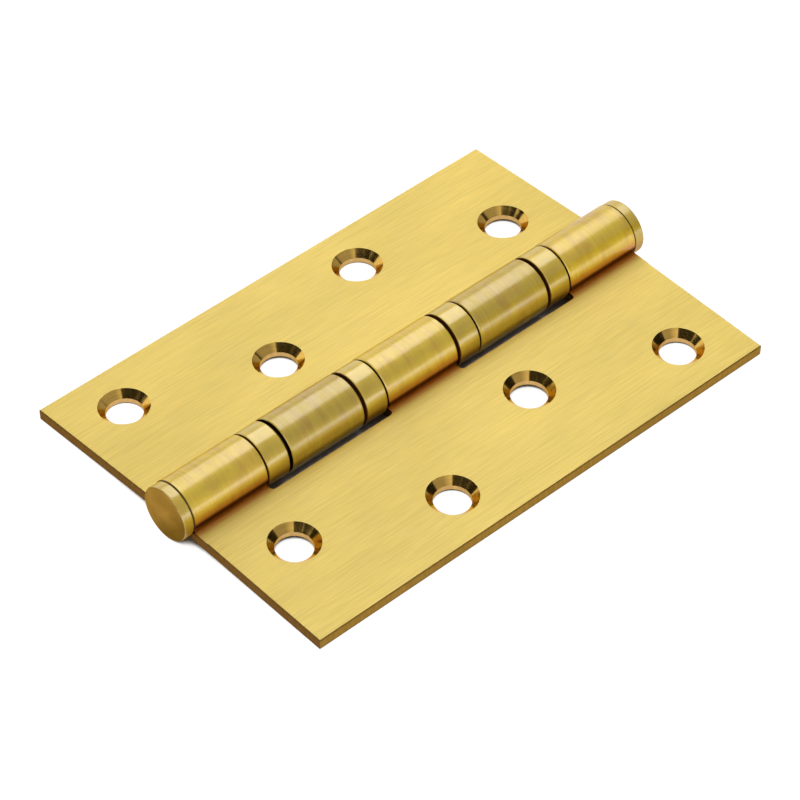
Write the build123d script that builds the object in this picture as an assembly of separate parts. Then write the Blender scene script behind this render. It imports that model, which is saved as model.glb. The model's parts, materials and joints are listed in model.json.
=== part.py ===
from build123d import *
import math
import os

# Ball bearing butt hinge, laid open on a table with its backs down.
# Two leaves of sheet brass are cut, countersunk and rolled into knuckles at their inner edge.
# The knuckles of one leaf stand between those of the other, with a thrust ball bearing in each
# space, and one pin runs through them all.
# X runs along the pin, +Y is the side of the two-knuckle leaf and Z is up. The origin is half way
# along the hinge, on the table, under the pin's axis.

# Leaves
leaf_length = 100.0
leaf_reach = 35.4
sheet = 2.1
edge_break = 0.12

# Pin and knuckles
pin_diameter = 6.0
pin_play = 0.05
knuckle_count = 5
bearing_space = 5.5
leaf_drop = 1.7
seam_gap = 0.15
roll_end_round = 0.25
swage_radius = 2.0
knuckle_break = 0.15
notch_clearance = 1.05
notch_corner = 0.7

# Ends of the pin
end_step = 0.1
head_length = 2.1
end_round = 0.3
tip_spigot = 5.0
spigot_play = 0.02
tip_gap = 1.0
pin_nose = 0.6

# Screw holes
screw_hole_diameter = 6.5
countersink_diameter = 9.0
countersink_angle = 90.0
hole_pitch = 26.15
inner_row = 17.05
outer_row = 26.25

# Bearings
shell_step = 0.05
shell_wall = 0.4
shell_break = 0.2
seat_gap = 0.3
open_gap = 0.7
lip_overlap = 0.5
race_play = 0.4
hub_clearance = 0.12
race_clearance = 0.05
ball_side_play = 0.1
ball_clearance = 0.05
ball_spacing = 0.08
groove_share = 0.3
bearing_faces = (1, -1, -1, -1)

# Sizes that follow
pin_radius = pin_diameter / 2
bore_radius = pin_radius + pin_play
barrel_radius = bore_radius + sheet
axis_height = barrel_radius
knuckle_length = (leaf_length - (knuckle_count - 1) * bearing_space) / knuckle_count
knuckle_pitch = knuckle_length + bearing_space
notch_line = barrel_radius + notch_clearance
leaf_back = leaf_drop + sheet
end_radius = barrel_radius - end_step
shell_radius = barrel_radius - shell_step
shell_bore = shell_radius - shell_wall
lip_bore = shell_bore - lip_overlap
shell_end = bearing_space - open_gap
ball_pitch_radius = (pin_radius + shell_bore) / 2
ball_radius = (shell_bore - pin_radius) / 2 - ball_side_play
ball_count = int(2 * math.pi * ball_pitch_radius / (2 * ball_radius + ball_spacing))
groove_radius = ball_radius + ball_clearance
groove_depth = groove_share * 2 * ball_radius
race_gap = 2 * (groove_radius - groove_depth)
race_thickness = (shell_end - seat_gap - 2 * shell_wall - race_play - race_gap) / 2
seat_race_face = seat_gap + shell_wall + race_thickness
ball_plane = seat_race_face + race_gap / 2


def lay_angle():
    """Slope in degrees at which both outer edges touch the table with the barrel's underside."""
    lean = math.degrees(math.atan2(leaf_back, leaf_reach))
    return math.degrees(math.asin(barrel_radius / math.hypot(leaf_reach, leaf_back))) - lean


def knuckle_start(index):
    """Place along the pin where a knuckle starts, counted from the tip's end."""
    return -leaf_length / 2 + index * knuckle_pitch


def on_circle(radius, height):
    """Point of a circle about the pin's axis, on the leaf's side, at a given height."""
    return (math.sqrt(radius**2 - height**2), height)


def polar(centre, radius, angle):
    """Point at a distance and an angle, in radians, from a centre."""
    return (centre[0] + radius * math.cos(angle), centre[1] + radius * math.sin(angle))


def roll_profile():
    """Section of a knuckle: the sheet drops under the pin, goes round it and lands on itself."""
    strip_end = (notch_line + sheet, -leaf_drop)
    sheet_in = on_circle(bore_radius, -leaf_drop)
    roll_in = on_circle(bore_radius, seam_gap - leaf_drop)
    roll_out = on_circle(barrel_radius, seam_gap - leaf_drop)
    swage_height = -leaf_back - swage_radius
    swage_centre = on_circle(barrel_radius + swage_radius, swage_height)
    to_axis = math.atan2(-swage_centre[1], -swage_centre[0])
    on_barrel = polar(swage_centre, swage_radius, to_axis)
    on_leaf = polar(swage_centre, swage_radius, math.pi / 2)
    between = polar(swage_centre, swage_radius, (to_axis + math.pi / 2) / 2)
    with BuildSketch(Plane.YZ) as section:
        with BuildLine():
            Line(strip_end, sheet_in)
            ThreePointArc(sheet_in, (-bore_radius, 0), roll_in)
            Line(roll_in, roll_out)
            ThreePointArc(roll_out, (-barrel_radius, 0), on_barrel)
            ThreePointArc(on_barrel, between, on_leaf)
            Line(on_leaf, (strip_end[0], -leaf_back))
            Line((strip_end[0], -leaf_back), strip_end)
        make_face()
        fillet(section.vertices().sort_by_distance(roll_out)[0], roll_end_round)
    return section.sketch


def knuckle(index):
    """One rolled knuckle at its place along the pin, with its end edges broken."""
    roll = Pos(knuckle_start(index), 0, 0) * extrude(roll_profile(), knuckle_length)
    rims = roll.edges().filter_by(GeomType.CIRCLE)
    rims = [rim for rim in rims if abs(rim.radius - barrel_radius) < knuckle_break / 10]
    return chamfer(rims, knuckle_break)


def screw_hole():
    """Countersunk hole, as a solid to cut away, with its mouth in the leaf's top face."""
    mouth = countersink_diameter / 2
    shank = screw_hole_diameter / 2
    depth = (mouth - shank) / math.tan(math.radians(countersink_angle / 2))
    cone = Cone(shank, mouth, depth, align=(Align.CENTER, Align.CENTER, Align.MAX))
    return cone + Cylinder(shank, 2 * sheet, align=(Align.CENTER, Align.CENTER, Align.MAX))


def hole_places():
    """Centres of the screw holes: two rows, taken in turn along the leaf."""
    rows = (outer_row, inner_row)
    count = 4
    return [((i - (count - 1) / 2) * hole_pitch, rows[i % 2]) for i in range(count)]


def flat_leaf():
    """The leaf's plate, outside the line of the notches, with its edges broken."""
    width = leaf_reach - notch_line
    middle = ((notch_line + leaf_reach) / 2, -leaf_drop - sheet / 2)
    plate = Pos(0, middle[0], middle[1]) * Box(leaf_length, width, sheet)
    top_edges = plate.faces().sort_by(Axis.Z)[-1].edges()
    bottom_edges = plate.faces().sort_by(Axis.Z)[0].edges()
    inner = (top_edges + bottom_edges).sort_by(Axis.Y)[:2]
    return chamfer([edge for edge in top_edges + bottom_edges if edge not in inner], edge_break)


def leaf(indices):
    """A leaf with knuckles at the given places, its inner edge towards the pin's axis."""
    body = flat_leaf()
    for index in indices:
        body += knuckle(index)
    inner_corners = [
        edge
        for edge in body.edges().filter_by(Axis.Z)
        if abs(edge.center().Y - notch_line) < edge_break
        and abs(abs(edge.center().X) - leaf_length / 2) > edge_break
    ]
    body = fillet(inner_corners, notch_corner)
    for x, y in hole_places():
        body -= Pos(x, y, -leaf_drop) * screw_hole()
    return body


def laid(body, side):
    """A leaf or its like, made towards +Y, laid on the table towards +Y or -Y."""
    turn = 0 if side > 0 else 180
    return Pos(0, 0, axis_height) * Rot(0, 0, turn) * Rot(-lay_angle(), 0, 0) * body


def along_pin(section_points, x, direction=1):
    """A turned piece: its half section, as (length, radius) points, swept round the pin's axis."""
    turn = 0 if direction > 0 else 180
    outline = Plane.XZ * make_face(Polyline(*section_points, close=True))
    return Pos(x, 0, axis_height) * Rot(0, 0, turn) * revolve(outline, Axis.X)


def pin():
    """The pin: a plain rod with a disc head at one end and a chamfered nose at the other."""
    head = leaf_length / 2
    nose = tip_spigot + tip_gap - leaf_length / 2
    rod = along_pin(
        [
            (nose, 0),
            (nose, pin_radius - pin_nose),
            (nose + pin_nose, pin_radius),
            (head, pin_radius),
            (head, end_radius - knuckle_break),
            (head + knuckle_break, end_radius),
            (head + head_length, end_radius),
            (head + head_length, 0),
        ],
        0,
    )
    return rounded_end(rod)


def tip():
    """The plug that closes the other end: a disc like the head, with a spigot for the bore."""
    spigot_radius = bore_radius - spigot_play
    face = leaf_length / 2
    plug = along_pin(
        [
            (face - tip_spigot, 0),
            (face - tip_spigot, spigot_radius - spigot_play),
            (face - tip_spigot + spigot_play, spigot_radius),
            (face, spigot_radius),
            (face, end_radius - knuckle_break),
            (face + knuckle_break, end_radius),
            (face + head_length, end_radius),
            (face + head_length, 0),
        ],
        0,
    )
    return Rot(0, 0, 180) * rounded_end(plug)


def rounded_end(piece):
    """The same piece with the outer rim of its end disc rounded."""
    rims = piece.edges().filter_by(GeomType.CIRCLE).sort_by(Axis.X)
    outer = [rim for rim in rims if rim.radius > end_radius - knuckle_break / 2]
    return fillet(outer[-1], end_round)


def bearing_shell(x, direction):
    """Drawn shell of a bearing: a short tube whose ends are rolled in over the two races."""
    tube = along_pin(
        [
            (seat_gap, lip_bore),
            (seat_gap, shell_radius),
            (shell_end, shell_radius),
            (shell_end, lip_bore),
            (shell_end - shell_wall, lip_bore),
            (shell_end - shell_wall, shell_bore),
            (seat_gap + shell_wall, shell_bore),
            (seat_gap + shell_wall, lip_bore),
        ],
        x,
        direction,
    )
    rims = tube.edges().filter_by(GeomType.CIRCLE)
    outer = [rim for rim in rims if rim.radius > shell_radius - shell_wall / 2]
    return fillet(outer, shell_break)


def race(x, direction, face, hub_end):
    """Hardened washer with a ball groove in its face and a hub that stands out of the shell."""
    back = face - math.copysign(race_thickness, face - hub_end)
    hub_radius = lip_bore - hub_clearance
    rim_radius = shell_bore - race_clearance
    washer = along_pin(
        [
            (face, bore_radius),
            (face, rim_radius),
            (back, rim_radius),
            (back, hub_radius),
            (hub_end, hub_radius),
            (hub_end, bore_radius),
        ],
        x,
        direction,
    )
    place = x + direction * ball_plane
    groove = Torus(ball_pitch_radius, groove_radius)
    return washer - Pos(place, 0, axis_height) * Rot(0, 90, 0) * groove


def ball_ring(x, direction):
    """The ring of loose balls that fills the space between the two grooves."""
    centre = Pos(x + direction * ball_plane, 0, axis_height)
    turns = [Rot(i * 360 / ball_count, 0, 0) for i in range(ball_count)]
    return Compound([centre * turn * Pos(0, 0, ball_pitch_radius) * Sphere(ball_radius) for turn in turns])


def bearings():
    """Every bearing's pieces by name. Each one sits on one knuckle and turns with the next."""
    pieces = {}
    for i in range(knuckle_count - 1):
        direction = bearing_faces[i % len(bearing_faces)]
        space_start = knuckle_start(i) + knuckle_length
        seat = space_start if direction > 0 else space_start + bearing_space
        number = i + 1
        pieces[f"bearing_shell_{number}"] = bearing_shell(seat, direction)
        pieces[f"seat_race_{number}"] = race(seat, direction, seat_race_face, 0)
        turning_face = seat_race_face + race_gap
        pieces[f"turning_race_{number}"] = race(seat, direction, turning_face, bearing_space)
        pieces[f"bearing_balls_{number}"] = ball_ring(seat, direction)
    return pieces


pieces = {
    "leaf_three_knuckle": laid(leaf(range(0, knuckle_count, 2)), -1),
    "leaf_two_knuckle": laid(leaf(range(1, knuckle_count, 2)), 1),
    "hinge_pin": pin(),
    "pin_tip": tip(),
}
pieces.update(bearings())

os.makedirs("parts", exist_ok=True)
for name, piece in pieces.items():
    export_step(piece, f"parts/{name}.step")
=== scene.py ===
import bpy
import json
import math
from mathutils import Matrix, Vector

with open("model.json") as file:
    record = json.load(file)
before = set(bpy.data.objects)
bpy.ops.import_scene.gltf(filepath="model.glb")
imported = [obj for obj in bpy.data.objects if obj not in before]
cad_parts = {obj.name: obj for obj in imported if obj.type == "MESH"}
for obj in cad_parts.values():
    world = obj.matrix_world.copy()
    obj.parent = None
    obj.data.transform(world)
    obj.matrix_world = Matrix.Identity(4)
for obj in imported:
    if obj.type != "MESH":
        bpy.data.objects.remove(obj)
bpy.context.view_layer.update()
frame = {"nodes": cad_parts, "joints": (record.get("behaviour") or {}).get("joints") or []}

# Camera. It looks down on the open hinge from the tip's end, over the three-knuckle leaf. The
# lens is long and about 0.6 m away, so the far end is only a little smaller than the near one.
bpy.ops.object.select_all(action="DESELECT")
camera_place = Vector((-0.29895, -0.32834, 0.42395))
camera_aim = Vector((-0.00615, -0.00589, 0.005))
camera_roll = math.radians(-0.253)
bpy.ops.object.camera_add(location=camera_place)
camera = bpy.context.object
camera.data.lens = 163.82
camera.rotation_euler = (camera_aim - camera_place).to_track_quat("-Z", "Y").to_euler()
camera.rotation_euler.rotate_axis("Z", camera_roll)
bpy.context.scene.camera = camera
bpy.context.scene.view_settings.view_transform = "Standard"


def linear(colour):
    """An sRGB hex colour as the linear RGBA that a shader takes."""
    parts = [int(colour[i : i + 2], 16) / 255 for i in (1, 3, 5)]
    return [c / 12.92 if c <= 0.04045 else ((c + 0.055) / 1.055) ** 2.4 for c in parts] + [1]


def add(tree, kind, inputs, **settings):
    """Adds a node, and sets its inputs or links them to a socket or to a node's first output."""
    node = tree.nodes.new(kind)
    for name, value in settings.items():
        setattr(node, name, value)
    for key, value in inputs.items():
        if isinstance(value, bpy.types.Node):
            tree.links.new(value.outputs[0], node.inputs[key])
        elif isinstance(value, bpy.types.NodeSocket):
            tree.links.new(value, node.inputs[key])
        else:
            node.inputs[key].default_value = value
    return node


# Table. A sheet of white paper under the hinge. What the camera and the metal see of it is
# lifted to plain white, except close under the hinge, where the paper lies in its shadow.
paper_lift = 0.95
shadow_reach = 0.012
bpy.ops.mesh.primitive_plane_add(size=8)
table = bpy.context.object
table.name = "paper_table"
paper = bpy.data.materials.new("white paper, matt")
table.data.materials.append(paper)
paper.use_nodes = True
tree = paper.node_tree
tree.nodes.clear()
ray = add(tree, "ShaderNodeLightPath", {})
seen = add(tree, "ShaderNodeMath", {0: ray.outputs["Is Camera Ray"],
                                    1: ray.outputs["Is Glossy Ray"]}, operation="MAXIMUM")
seen = add(tree, "ShaderNodeMath", {0: seen, 1: ray.outputs["Is Transmission Ray"]},
           operation="MAXIMUM")
open_sky = add(tree, "ShaderNodeAmbientOcclusion", {"Distance": shadow_reach})
lit = add(tree, "ShaderNodeMapRange", {"Value": open_sky.outputs["AO"], "From Min": 0.20,
                                       "From Max": 0.32, "To Max": paper_lift})
lift = add(tree, "ShaderNodeMath", {0: seen, 1: lit}, operation="MULTIPLY")
fibre = add(tree, "ShaderNodeBsdfDiffuse", {"Color": linear("#7A7062")})
glow = add(tree, "ShaderNodeEmission", {"Strength": lift})
both = add(tree, "ShaderNodeAddShader", {0: fibre, 1: glow})
add(tree, "ShaderNodeOutputMaterial", {"Surface": both})

# Room and lights. The room is palest to the right, dim at the far end and grey above. The barrel
# mirrors a long soft box, and a weaker one hangs overhead. Three black flags that the camera
# doesn't see darken the countersinks, and a small one the far knuckle's lower side.
right_wall = 3.1
left_wall = 1.3
grey_wall = 0.5
near_wall = 1.2
far_end_share = 0.2
pale_height = 0.12
room = bpy.data.worlds.new("studio room")
bpy.context.scene.world = room
room.use_nodes = True
tree = room.node_tree
way = add(tree, "ShaderNodeTexCoord", {})
way = add(tree, "ShaderNodeSeparateXYZ", {0: way.outputs["Generated"]})
pale = add(tree, "ShaderNodeMapRange", {"Value": way.outputs["Y"], "From Min": -0.8,
                                        "From Max": 0.8, "To Min": right_wall,
                                        "To Max": left_wall})
far_end = add(tree, "ShaderNodeMapRange", {"Value": way.outputs["X"], "From Min": 0.75,
                                           "From Max": 0.90, "To Min": 1.0,
                                           "To Max": far_end_share})
pale = add(tree, "ShaderNodeMath", {0: pale, 1: far_end}, operation="MULTIPLY")
height = add(tree, "ShaderNodeMapRange", {"Value": way.outputs["Y"], "From Min": -0.8,
                                          "From Max": 0.8, "To Min": 0.25, "To Max": 0.60})
above = add(tree, "ShaderNodeMapRange", {"Value": way.outputs["X"], "From Min": -0.6,
                                         "From Max": 0.0, "To Min": near_wall,
                                         "To Max": grey_wall})
wall = add(tree, "ShaderNodeMapRange", {"Value": way.outputs["Z"], "From Min": pale_height,
                                        "From Max": height, "To Min": pale, "To Max": above})
background = tree.nodes["Background"]
background.inputs["Color"].default_value = linear("#FFFFFF")
tree.links.new(wall.outputs[0], background.inputs["Strength"])

bpy.ops.object.light_add(type="AREA", location=(0.67, 0.68, 1.0))
soft_box = bpy.context.object
soft_box.data.shape = "RECTANGLE"
soft_box.data.size = 0.4
soft_box.data.size_y = 1.5
soft_box.data.energy = 6.25
soft_box.rotation_euler.z = math.radians(-14)

bpy.ops.object.light_add(type="AREA", location=(-0.1, -0.1, 1.3))
top_box = bpy.context.object
top_box.data.size = 0.9
top_box.data.energy = 1.1

felt = bpy.data.materials.new("black felt")
felt.use_nodes = True
shader = felt.node_tree.nodes["Principled BSDF"]
shader.inputs["Base Color"].default_value = linear("#141210")
shader.inputs["Roughness"].default_value = 1.0
for turn, rise, away, wide, tall in (
    (212, 46, 1.0, 0.55, 0.4), (172, 41, 1.0, 0.55, 0.4), (137, 27, 1.0, 0.55, 0.4),
    (325, 17, 0.23, 0.15, 0.1),
):
    turn, rise = math.radians(turn), math.radians(rise)
    flag_place = Vector((math.cos(rise) * math.cos(turn), math.cos(rise) * math.sin(turn),
                         math.sin(rise))) * away
    bpy.ops.mesh.primitive_plane_add(size=1, location=flag_place)
    flag = bpy.context.object
    flag.name = "black_flag"
    flag.scale = (wide, tall, 1)
    flag.rotation_euler = (-flag_place).to_track_quat("-Z", "Y").to_euler()
    flag.visible_camera = False
    flag.visible_diffuse = False
    flag.data.materials.append(felt)

# Leaves. Each is brass sheet 2.1 mm thick, cut to a rectangle and rolled round the pin at its
# inner edge. The faces are belt brushed along the pin and the knuckles round it, all under
# clear lacquer. The screw holes are countersunk bright, and the cut edges stay dull.
axis_height = frame["joints"][0]["pos_m"][2]
leaf_length = 0.100
leaf_reach = 0.0354
sheet = 0.0021
leaf_slope = math.tan(math.radians(2.19))
barrel_radius = 0.00515
second_knuckle = 0.0211
half_knuckle = 0.010
notch_line = 0.0063
edge_margin = 0.0006
rim_width = 0.0005
rim_core = 0.0001
seam_width = 0.00025
seam_core = 0.0001
# The colour of the painted shade in the seams at the barrel's ends.
seam_shade_colour = linear("#3A1C0C")[:3]
brass_glint = linear("#E8C890")
lacquer_roughness = 0.22
lacquer_index = 1.9

sheet_brass = bpy.data.materials.new("brass sheet, brushed and lacquered")
sheet_brass.use_nodes = True
tree = sheet_brass.node_tree
place = add(tree, "ShaderNodeTexCoord", {})
spot = add(tree, "ShaderNodeSeparateXYZ", {0: place.outputs["Object"]})
facing = add(tree, "ShaderNodeVectorMath", {0: place.outputs["Normal"]}, operation="ABSOLUTE")
facing = add(tree, "ShaderNodeSeparateXYZ", {0: facing})
radius = add(tree, "ShaderNodeVectorMath", {0: place.outputs["Object"], 1: (0, 1, 1)},
             operation="MULTIPLY")
radius = add(tree, "ShaderNodeVectorMath", {0: radius, 1: (0, 0, axis_height)},
             operation="DISTANCE")
from_middle = add(tree, "ShaderNodeVectorMath", {0: place.outputs["Object"]}, operation="ABSOLUTE")
from_middle = add(tree, "ShaderNodeSeparateXYZ", {0: from_middle})

# The masks are where each surface of the sheet lies: its flat faces, the rolled knuckles (the
# second and the fourth are a little duller), the countersinks and the plain bores under them,
# and the cut edges with a darker line at each rim.
flat = add(tree, "ShaderNodeMapRange", {"Value": facing.outputs["Z"], "From Min": 0.96,
                                        "From Max": 0.995})
# The sheared ends are duller like the other cut edges, and painted darker than them as painted
# shade.
end_face = add(tree, "ShaderNodeMath", {0: facing.outputs["X"], 1: 0.9}, operation="GREATER_THAN")
round_face = add(tree, "ShaderNodeMath", {0: 1.0, 1: end_face}, operation="SUBTRACT")
rolled = add(tree, "ShaderNodeMapRange", {
    "Value": radius.outputs["Value"], "From Min": barrel_radius + 0.0001,
    "From Max": barrel_radius + 0.0003, "To Min": 1.0, "To Max": 0.0})
rolled = add(tree, "ShaderNodeMath", {0: rolled, 1: round_face}, operation="MULTIPLY")
second = add(tree, "ShaderNodeMath", {0: from_middle.outputs["X"], 1: second_knuckle,
                                      2: half_knuckle}, operation="COMPARE")
dull = add(tree, "ShaderNodeMath", {0: second, 1: rolled}, operation="MULTIPLY")
short = add(tree, "ShaderNodeMath", {0: from_middle.outputs["X"], 1: leaf_length / 2 - edge_margin},
            operation="LESS_THAN")
narrow = add(tree, "ShaderNodeMath", {0: from_middle.outputs["Y"], 1: leaf_reach - edge_margin},
             operation="LESS_THAN")
outside = add(tree, "ShaderNodeMath", {0: from_middle.outputs["Y"], 1: notch_line + edge_margin},
              operation="GREATER_THAN")
bored = add(tree, "ShaderNodeMath", {0: short, 1: narrow}, operation="MULTIPLY")
bored = add(tree, "ShaderNodeMath", {0: bored, 1: outside}, operation="MULTIPLY")
land = add(tree, "ShaderNodeMath", {0: facing.outputs["Z"], 1: 0.4}, operation="LESS_THAN")
land = add(tree, "ShaderNodeMath", {0: bored, 1: land}, operation="MULTIPLY")
rim = add(tree, "ShaderNodeMath", {0: from_middle.outputs["Y"], 1: leaf_slope,
                                   2: spot.outputs["Z"]}, operation="MULTIPLY_ADD")
rim = add(tree, "ShaderNodeMath", {0: rim, 1: leaf_reach * leaf_slope + sheet / 2},
          operation="SUBTRACT")
rim = add(tree, "ShaderNodeMath", {0: rim}, operation="ABSOLUTE")
rim = add(tree, "ShaderNodeMapRange", {"Value": rim, "From Min": sheet / 2 - rim_width,
                                       "From Max": sheet / 2 - rim_core, "To Max": 0.5})
not_bored = add(tree, "ShaderNodeMath", {0: 1.0, 1: bored}, operation="SUBTRACT")
rim = add(tree, "ShaderNodeMath", {0: rim, 1: not_bored}, operation="MULTIPLY")

# Belt lines are 0.05 to 0.1 mm wide, and are drawn 0.2 mm wide here so that they still show.
belt = add(tree, "ShaderNodeMapping", {0: place.outputs["Object"], "Scale": (170, 5000, 5000)})
belt = add(tree, "ShaderNodeTexNoise", {"Vector": belt, "Scale": 1, "Detail": 2})
scratch = add(tree, "ShaderNodeMapping", {0: place.outputs["Object"], "Scale": (90, 3400, 3400)})
scratch = add(tree, "ShaderNodeTexNoise", {"Vector": scratch, "Scale": 1, "Detail": 0})
scratch = add(tree, "ShaderNodeMapRange", {"Value": scratch, "From Min": 0.64, "From Max": 0.72,
                                           "To Max": -0.3})
brushed = add(tree, "ShaderNodeMath", {0: belt, 1: scratch}, operation="ADD")
smudge = add(tree, "ShaderNodeMapping", {0: place.outputs["Object"], "Scale": (420, 200, 200)})
smudge = add(tree, "ShaderNodeTexNoise", {"Vector": smudge, "Scale": 1, "Detail": 5})
round_line = add(tree, "ShaderNodeMapping", {0: place.outputs["Object"], "Scale": (4500, 160, 160)})
round_line = add(tree, "ShaderNodeTexNoise", {"Vector": round_line, "Scale": 1, "Detail": 2})
ring = add(tree, "ShaderNodeMapping", {0: place.outputs["Object"], "Scale": (250, 250, 5000)})
ring = add(tree, "ShaderNodeTexNoise", {"Vector": ring, "Scale": 1, "Detail": 1})
shear = add(tree, "ShaderNodeMapping", {0: place.outputs["Object"], "Scale": (2500, 2500, 500)})
shear = add(tree, "ShaderNodeTexNoise", {"Vector": shear, "Scale": 1, "Detail": 3})

# Each surface has a colour, how strongly its pattern shades it, its roughness, how much
# lacquer it carries, and the depth of its pattern in thousandths of a millimetre.
surfaces = [
    (None, shear, "#A88644", 0.25, 0.55, 0.0, 6.0),
    (end_face, shear, "#80603A", 0.30, 0.55, 0.0, 6.0),
    (rim, shear, "#4A2E16", 0.30, 0.50, 0.0, 3.0),
    (bored, ring, "#DAB058", 0.15, 0.14, 0.0, 0.2),
    (land, shear, "#D8B070", 0.20, 0.35, 0.0, 2.0),
    (flat, brushed, "#D8C068", 0.14, 0.56, 0.15, 0.8),
    (rolled, round_line, "#EACC3C", 0.14, 0.65, 1.0, 1.4),
    (dull, round_line, "#D4B83A", 0.16, 0.65, 1.0, 1.4),
]
for mask, pattern, paint, shade, roughness, lacquer, depth in surfaces:
    tone = add(tree, "ShaderNodeMapRange", {"Value": pattern, "From Min": 0.3, "From Max": 0.7,
                                            "To Min": 1 - shade, "To Max": 1.0})
    own = add(tree, "ShaderNodeVectorMath", {0: linear(paint)[:3], 1: tone}, operation="MULTIPLY")
    relief = add(tree, "ShaderNodeMath", {0: pattern, 1: depth * 1e-6}, operation="MULTIPLY")
    rest = add(tree, "ShaderNodeCombineXYZ", {0: roughness, 1: lacquer, 2: relief})
    if mask is None:
        colour, values = own.outputs[0], rest.outputs[0]
    else:
        colour = add(tree, "ShaderNodeMix", {0: mask, 4: colour, 5: own}, data_type="VECTOR")
        values = add(tree, "ShaderNodeMix", {0: mask, 4: values, 5: rest}, data_type="VECTOR")
        colour, values = colour.outputs[1], values.outputs[1]
values = add(tree, "ShaderNodeSeparateXYZ", {0: values})
relief = add(tree, "ShaderNodeBump", {"Height": values.outputs["Z"], "Distance": 1.0})

# The metal is painted copper red towards the corner between a knuckle and its sheet, and
# nearly black in it, as painted reflection and shade, by height on the knuckle and by distance
# on the sheet. The second and the fourth knuckle have their sheet on the left.
corner_height = axis_height - 0.0008
sheet_height = axis_height - 0.0024
side = add(tree, "ShaderNodeMapRange", {"Value": second, "To Min": -1.0, "To Max": 1.0})
side = add(tree, "ShaderNodeMath", {0: side, 1: spot.outputs["Y"]}, operation="MULTIPLY")
side = add(tree, "ShaderNodeMath", {0: side, 1: 0.0}, operation="GREATER_THAN")
side = add(tree, "ShaderNodeMath", {0: side, 1: rolled}, operation="MULTIPLY")
level = add(tree, "ShaderNodeMath", {0: spot.outputs["Z"], 1: corner_height},
            operation="SUBTRACT")
level = add(tree, "ShaderNodeMath", {0: level}, operation="ABSOLUTE")
distance = add(tree, "ShaderNodeMath", {0: radius.outputs["Value"], 1: barrel_radius},
               operation="SUBTRACT")
top = add(tree, "ShaderNodeMath", {0: spot.outputs["Z"], 1: sheet_height},
          operation="GREATER_THAN")
# A wide band of painted copper reflection, then a narrow near-black core of painted shade.
for reach_up, reach_out, strength, corner_shade_tint in ((0.0027, 0.0020, 0.8, "#F09A5C"),
                                             (0.0011, 0.0004, 0.9, "#3C1C0C")):
    flank = add(tree, "ShaderNodeMapRange", {
        "Value": level, "From Min": reach_up * 0.2, "From Max": reach_up, "To Min": strength,
        "To Max": 0.0}, interpolation_type="SMOOTHSTEP")
    flank = add(tree, "ShaderNodeMath", {0: flank, 1: side}, operation="MULTIPLY")
    beside = add(tree, "ShaderNodeMapRange", {
        "Value": distance, "From Max": reach_out, "To Min": strength, "To Max": 0.0},
        interpolation_type="SMOOTHSTEP")
    beside = add(tree, "ShaderNodeMath", {0: beside, 1: top}, operation="MULTIPLY")
    beside = add(tree, "ShaderNodeMix", {0: rolled, 2: beside, 3: flank})
    shaded_corner = add(tree, "ShaderNodeVectorMath", {0: colour, 1: linear(corner_shade_tint)[:3]},
                  operation="MULTIPLY")
    colour = add(tree, "ShaderNodeMix", {0: beside, 4: colour, 5: shaded_corner}, data_type="VECTOR")
    colour = colour.outputs[1]

# Wear. Handling leaves the sheet a little duller in broad streaks. The knuckles carry faint
# brown patches, and a dark band is painted at the barrel's two ends as the shade in the seams.
# Their lacquer is thinner in patches and along the lines, and left off the painted shade in the
# corners and seams.
haze = add(tree, "ShaderNodeMapping", {0: place.outputs["Object"], "Scale": (28, 90, 90)})
haze = add(tree, "ShaderNodeTexNoise", {"Vector": haze, "Scale": 1, "Detail": 3})
haze = add(tree, "ShaderNodeMapRange", {"Value": haze, "From Min": 0.35, "From Max": 0.65,
                                        "To Min": 0.94, "To Max": 1.04})
colour = add(tree, "ShaderNodeVectorMath", {0: colour, 1: haze}, operation="MULTIPLY")
colour = colour.outputs[0]
aged = add(tree, "ShaderNodeMapRange", {"Value": smudge, "From Min": 0.45, "From Max": 0.70,
                                        "To Max": 0.35})
aged = add(tree, "ShaderNodeMath", {0: aged, 1: rolled}, operation="MULTIPLY")
brown = add(tree, "ShaderNodeVectorMath", {0: colour, 1: linear("#D8AC80")[:3]},
            operation="MULTIPLY")
colour = add(tree, "ShaderNodeMix", {0: aged, 4: colour, 5: brown}, data_type="VECTOR")
# Painted shade: a dark band at the barrel's two ends, where the seams are.
seam = add(tree, "ShaderNodeMapRange", {
    "Value": from_middle.outputs["X"], "From Min": leaf_length / 2 - seam_width,
    "From Max": leaf_length / 2 - seam_core, "To Max": 0.85})
seam = add(tree, "ShaderNodeMath", {0: seam, 1: rolled}, operation="MULTIPLY")
colour = add(tree, "ShaderNodeMix", {0: seam, 4: colour.outputs[1], 5: seam_shade_colour},
             data_type="VECTOR")
beside = add(tree, "ShaderNodeMath", {0: beside, 1: seam}, operation="MAXIMUM")
patch = add(tree, "ShaderNodeMapRange", {"Value": smudge, "From Min": 0.35, "From Max": 0.65,
                                         "To Min": 0.7, "To Max": 1.0})
hatch = add(tree, "ShaderNodeMapRange", {"Value": round_line, "From Min": 0.35, "From Max": 0.65,
                                         "To Min": 0.75, "To Max": 1.0})
worn = add(tree, "ShaderNodeMath", {0: patch, 1: hatch}, operation="MULTIPLY")
unshaded = add(tree, "ShaderNodeMath", {0: 1.0, 1: beside}, operation="SUBTRACT")
worn = add(tree, "ShaderNodeMath", {0: worn, 1: unshaded}, operation="MULTIPLY")
lacquer = add(tree, "ShaderNodeMath", {0: values.outputs["Y"], 1: worn}, operation="MULTIPLY")

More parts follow.
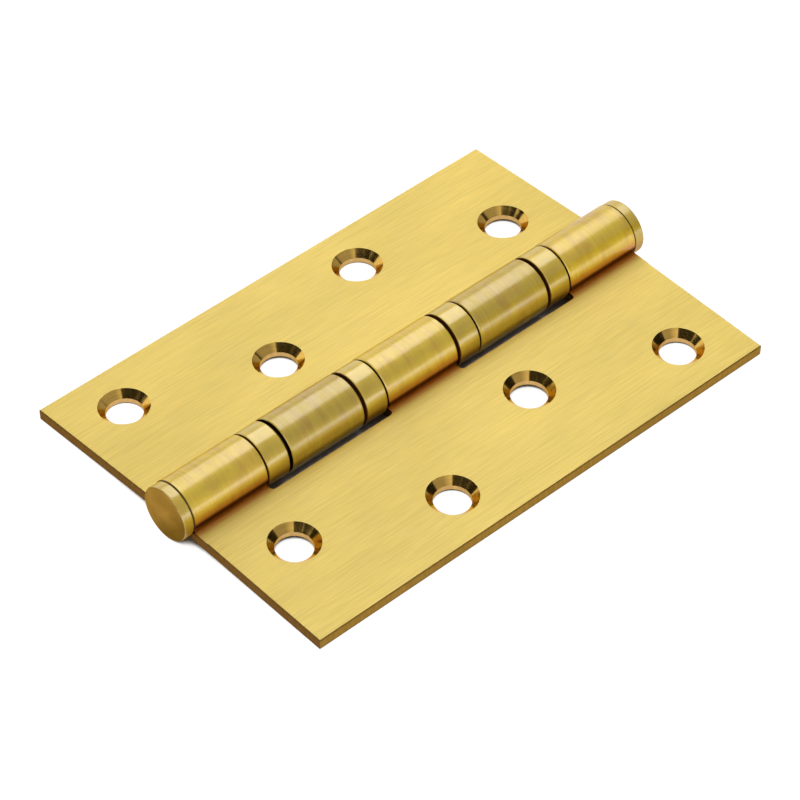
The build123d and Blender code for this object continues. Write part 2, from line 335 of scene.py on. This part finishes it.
# Light is drawn out across the brush lines: round the leaf, along the barrel, and down the
# countersinks, where the cutter's rings give clean sectors of light and dark.
across = add(tree, "ShaderNodeNewGeometry", {})
across = add(tree, "ShaderNodeVectorMath", {0: across.outputs["Normal"], 1: (1, 0, 0)},
             operation="CROSS_PRODUCT")
stretch = add(tree, "ShaderNodeMix", {0: flat, 4: (0, 0, 1), 5: across.outputs[0]},
              data_type="VECTOR")
stretch = add(tree, "ShaderNodeMix", {0: rolled, 4: stretch.outputs[1], 5: (1, 0, 0)},
              data_type="VECTOR")
shader = tree.nodes["Principled BSDF"]
shader.inputs["Metallic"].default_value = 1.0
shader.inputs["Anisotropic"].default_value = 0.5
shader.inputs["Specular Tint"].default_value = brass_glint
shader.inputs["Coat Roughness"].default_value = lacquer_roughness
shader.inputs["Coat IOR"].default_value = lacquer_index
tree.links.new(colour.outputs[1], shader.inputs["Base Color"])
tree.links.new(values.outputs["X"], shader.inputs["Roughness"])
tree.links.new(lacquer.outputs[0], shader.inputs["Coat Weight"])
tree.links.new(relief.outputs[0], shader.inputs["Normal"])
tree.links.new(stretch.outputs[1], shader.inputs["Tangent"])
for name in ("leaf_three_knuckle", "leaf_two_knuckle"):
    frame["nodes"][name].material_slots[0].material = sheet_brass

# Pin. A turned brass rod with a plain head at the far end and a pressed-in tip at the near
# end. Its rims are brushed round and lacquered like the knuckles, with painted shade on their
# lower side and a dark band of painted shade beside the barrel, and its two end faces keep the
# lathe's rings and stay matt.
turned_brass = linear("#D3B636")[:3]
underside_shade_tint = linear("#C88C60")[:3]
underside_shade_from = axis_height - 0.0015
underside_shade_to = axis_height + 0.0020
rim_seam = 0.0002
shade_slant = 0.7
shade_reach = 0.003
rod_brass = bpy.data.materials.new("brass rod, turned")
rod_brass.use_nodes = True
tree = rod_brass.node_tree
place = add(tree, "ShaderNodeTexCoord", {})
from_axis = add(tree, "ShaderNodeVectorMath", {0: place.outputs["Object"], 1: (0, 1, 1)},
                operation="MULTIPLY")
from_axis = add(tree, "ShaderNodeVectorMath", {0: from_axis, 1: (0, 0, axis_height)},
                operation="DISTANCE")
spot = add(tree, "ShaderNodeSeparateXYZ", {0: place.outputs["Object"]})
lathe = add(tree, "ShaderNodeCombineXYZ", {0: spot.outputs["X"], 1: from_axis.outputs["Value"]})
lathe = add(tree, "ShaderNodeMapping", {0: lathe, "Scale": (4500, 3000, 1)})
lathe = add(tree, "ShaderNodeTexNoise", {"Vector": lathe, "Scale": 1, "Detail": 2})
cloud = add(tree, "ShaderNodeTexNoise", {"Vector": place.outputs["Object"], "Scale": 320,
                                         "Detail": 3})
facing = add(tree, "ShaderNodeVectorMath", {0: place.outputs["Normal"]}, operation="ABSOLUTE")
facing = add(tree, "ShaderNodeSeparateXYZ", {0: facing})
end_face = add(tree, "ShaderNodeMapRange", {"Value": facing.outputs["X"], "From Min": 0.4,
                                            "From Max": 0.6})
rim_tone = add(tree, "ShaderNodeMapRange", {"Value": lathe, "From Min": 0.3, "From Max": 0.7,
                                            "To Min": 0.86, "To Max": 1.0})
rim_tone = add(tree, "ShaderNodeVectorMath", {0: turned_brass, 1: rim_tone},
               operation="MULTIPLY")
# Painted shade: the rims turn darker and redder towards their lower side, and their lacquer thins
# there.
underside_shade = add(tree, "ShaderNodeMapRange", {"Value": spot.outputs["Z"], "From Min": underside_shade_from,
                                       "From Max": underside_shade_to, "To Min": 0.5, "To Max": 0.0},
          interpolation_type="SMOOTHSTEP")
shaded_underside = add(tree, "ShaderNodeVectorMath", {0: rim_tone, 1: underside_shade_tint},
              operation="MULTIPLY")
rim_tone = add(tree, "ShaderNodeMix", {0: underside_shade, 4: rim_tone, 5: shaded_underside}, data_type="VECTOR")
rim_tone = rim_tone.outputs[1]
face_tone = add(tree, "ShaderNodeMapRange", {"Value": cloud, "From Min": 0.35, "From Max": 0.65,
                                             "To Min": 0.78, "To Max": 1.0})
face_tone = add(tree, "ShaderNodeVectorMath", {0: linear("#A68444")[:3], 1: face_tone},
                operation="MULTIPLY")
shady = add(tree, "ShaderNodeVectorMath", {0: place.outputs["Object"],
                                           1: (0, -shade_slant, -shade_slant)},
            operation="DOT_PRODUCT")
shady = add(tree, "ShaderNodeMapRange", {
    "Value": shady.outputs["Value"], "From Min": -shade_slant * axis_height,
    "From Max": -shade_slant * axis_height + shade_reach, "To Max": 0.8})
shady = add(tree, "ShaderNodeMix", {0: shady, 4: (1, 1, 1), 5: linear("#B4B0A0")[:3]},
            data_type="VECTOR")
face_tone = add(tree, "ShaderNodeVectorMath", {0: face_tone, 1: shady.outputs[1]},
                operation="MULTIPLY")
colour = add(tree, "ShaderNodeMix", {0: end_face, 4: rim_tone, 5: face_tone}, data_type="VECTOR")
# A dark band painted beside the barrel stands in for the shade in the seam.
seam = add(tree, "ShaderNodeMath", {0: spot.outputs["X"]}, operation="ABSOLUTE")
seam = add(tree, "ShaderNodeMapRange", {"Value": seam, "From Min": leaf_length / 2,
                                        "From Max": leaf_length / 2 + rim_seam, "To Min": 0.9,
                                        "To Max": 0.0})
colour = add(tree, "ShaderNodeMix", {0: seam, 4: colour.outputs[1], 5: seam_shade_colour},
             data_type="VECTOR")
roughness = add(tree, "ShaderNodeMapRange", {"Value": end_face, "To Min": 0.65, "To Max": 0.55})
bare = add(tree, "ShaderNodeMath", {0: end_face, 1: seam}, operation="MAXIMUM")
bare = add(tree, "ShaderNodeMath", {0: bare, 1: underside_shade}, operation="MAXIMUM")
lacquer = add(tree, "ShaderNodeMapRange", {"Value": bare, "To Min": 0.9, "To Max": 0.0})
relief = add(tree, "ShaderNodeBump", {"Height": lathe, "Distance": 1.5e-6})
shader = tree.nodes["Principled BSDF"]
shader.inputs["Metallic"].default_value = 1.0
shader.inputs["Specular Tint"].default_value = brass_glint
shader.inputs["Coat Roughness"].default_value = lacquer_roughness
shader.inputs["Coat IOR"].default_value = lacquer_index
tree.links.new(colour.outputs[1], shader.inputs["Base Color"])
tree.links.new(roughness.outputs[0], shader.inputs["Roughness"])
tree.links.new(lacquer.outputs[0], shader.inputs["Coat Weight"])
tree.links.new(relief.outputs[0], shader.inputs["Normal"])
for name in ("hinge_pin", "pin_tip"):
    frame["nodes"][name].material_slots[0].material = rod_brass

# Bearing shells. Thin brass cups drawn from strip and polished round, then lacquered. They are
# smoother than the knuckles, so their bands of light are cleaner. Their ends are painted dark
# brown as the shade in the seams, and their lower side darker and redder as painted shade.
shell_brass = bpy.data.materials.new("drawn brass, polished and lacquered")
shell_brass.use_nodes = True
tree = shell_brass.node_tree
place = add(tree, "ShaderNodeTexCoord", {})
round_line = add(tree, "ShaderNodeMapping", {0: place.outputs["Object"], "Scale": (4500, 120, 120)})
round_line = add(tree, "ShaderNodeTexNoise", {"Vector": round_line, "Scale": 1, "Detail": 2})
tone = add(tree, "ShaderNodeMapRange", {"Value": round_line, "From Min": 0.3, "From Max": 0.7,
                                        "To Min": 0.93, "To Max": 1.0})
colour = add(tree, "ShaderNodeVectorMath", {0: turned_brass, 1: tone}, operation="MULTIPLY")
spot = add(tree, "ShaderNodeSeparateXYZ", {0: place.outputs["Object"]})
# Painted shade: darker and redder towards the lower side, with thinner lacquer there.
underside_shade = add(tree, "ShaderNodeMapRange", {"Value": spot.outputs["Z"], "From Min": underside_shade_from,
                                       "From Max": underside_shade_to, "To Min": 0.5, "To Max": 0.0},
          interpolation_type="SMOOTHSTEP")
shaded_underside = add(tree, "ShaderNodeVectorMath", {0: colour, 1: underside_shade_tint}, operation="MULTIPLY")
colour = add(tree, "ShaderNodeMix", {0: underside_shade, 4: colour, 5: shaded_underside}, data_type="VECTOR")
# Painted shade: the ends are dark brown where the seams beside them lie in shade.
seam = add(tree, "ShaderNodeVectorMath", {0: place.outputs["Normal"]}, operation="ABSOLUTE")
seam = add(tree, "ShaderNodeSeparateXYZ", {0: seam})
seam = add(tree, "ShaderNodeMapRange", {"Value": seam.outputs["X"], "From Min": 0.5,
                                        "From Max": 0.8, "To Max": 0.9})
colour = add(tree, "ShaderNodeMix", {0: seam, 4: colour.outputs[1], 5: linear("#74401C")[:3]},
             data_type="VECTOR")
bare = add(tree, "ShaderNodeMath", {0: seam, 1: underside_shade}, operation="MAXIMUM")
lacquer = add(tree, "ShaderNodeMath", {0: 0.8, 1: bare}, operation="SUBTRACT", use_clamp=True)
relief = add(tree, "ShaderNodeBump", {"Height": round_line, "Distance": 0.8e-6})
shader = tree.nodes["Principled BSDF"]
shader.inputs["Metallic"].default_value = 1.0
shader.inputs["Roughness"].default_value = 0.62
shader.inputs["Anisotropic"].default_value = 0.5
shader.inputs["Coat Roughness"].default_value = 0.17
shader.inputs["Coat IOR"].default_value = lacquer_index
shader.inputs["Tangent"].default_value = (1, 0, 0)
tree.links.new(colour.outputs[1], shader.inputs["Base Color"])
tree.links.new(lacquer.outputs[0], shader.inputs["Coat Weight"])
tree.links.new(relief.outputs[0], shader.inputs["Normal"])
for i in range(4):
    frame["nodes"][f"bearing_shell_{i + 1}"].material_slots[0].material = shell_brass

# Races and balls. The races are ground steel washers, painted dark brown as the brass reflected
# in the shaded gap, and the balls polished chrome steel. Only a race's hub shows, in the gap
# between a shell and a knuckle.
for kind, name, paint, roughness in (
    ("race", "ground steel, painted brass reflection", "#6A4C30", 0.45),
    ("ball", "chrome steel, polished", "#C6C6C8", 0.08),
):
    steel = bpy.data.materials.new(name)
    steel.use_nodes = True
    tree = steel.node_tree
    place = add(tree, "ShaderNodeTexCoord", {})
    grind = add(tree, "ShaderNodeTexNoise", {"Vector": place.outputs["Object"], "Scale": 2500,
                                             "Detail": 3})
    tone = add(tree, "ShaderNodeMapRange", {"Value": grind, "From Min": 0.3, "From Max": 0.7,
                                            "To Min": 0.9, "To Max": 1.0})
    colour = add(tree, "ShaderNodeVectorMath", {0: linear(paint)[:3], 1: tone},
                 operation="MULTIPLY")
    relief = add(tree, "ShaderNodeBump", {"Height": grind, "Distance": 0.5e-6})
    shader = tree.nodes["Principled BSDF"]
    shader.inputs["Metallic"].default_value = 1.0
    shader.inputs["Roughness"].default_value = roughness
    tree.links.new(colour.outputs[0], shader.inputs["Base Color"])
    tree.links.new(relief.outputs[0], shader.inputs["Normal"])
    for node in frame["nodes"]:
        if kind in node:
            frame["nodes"][node].material_slots[0].material = steel
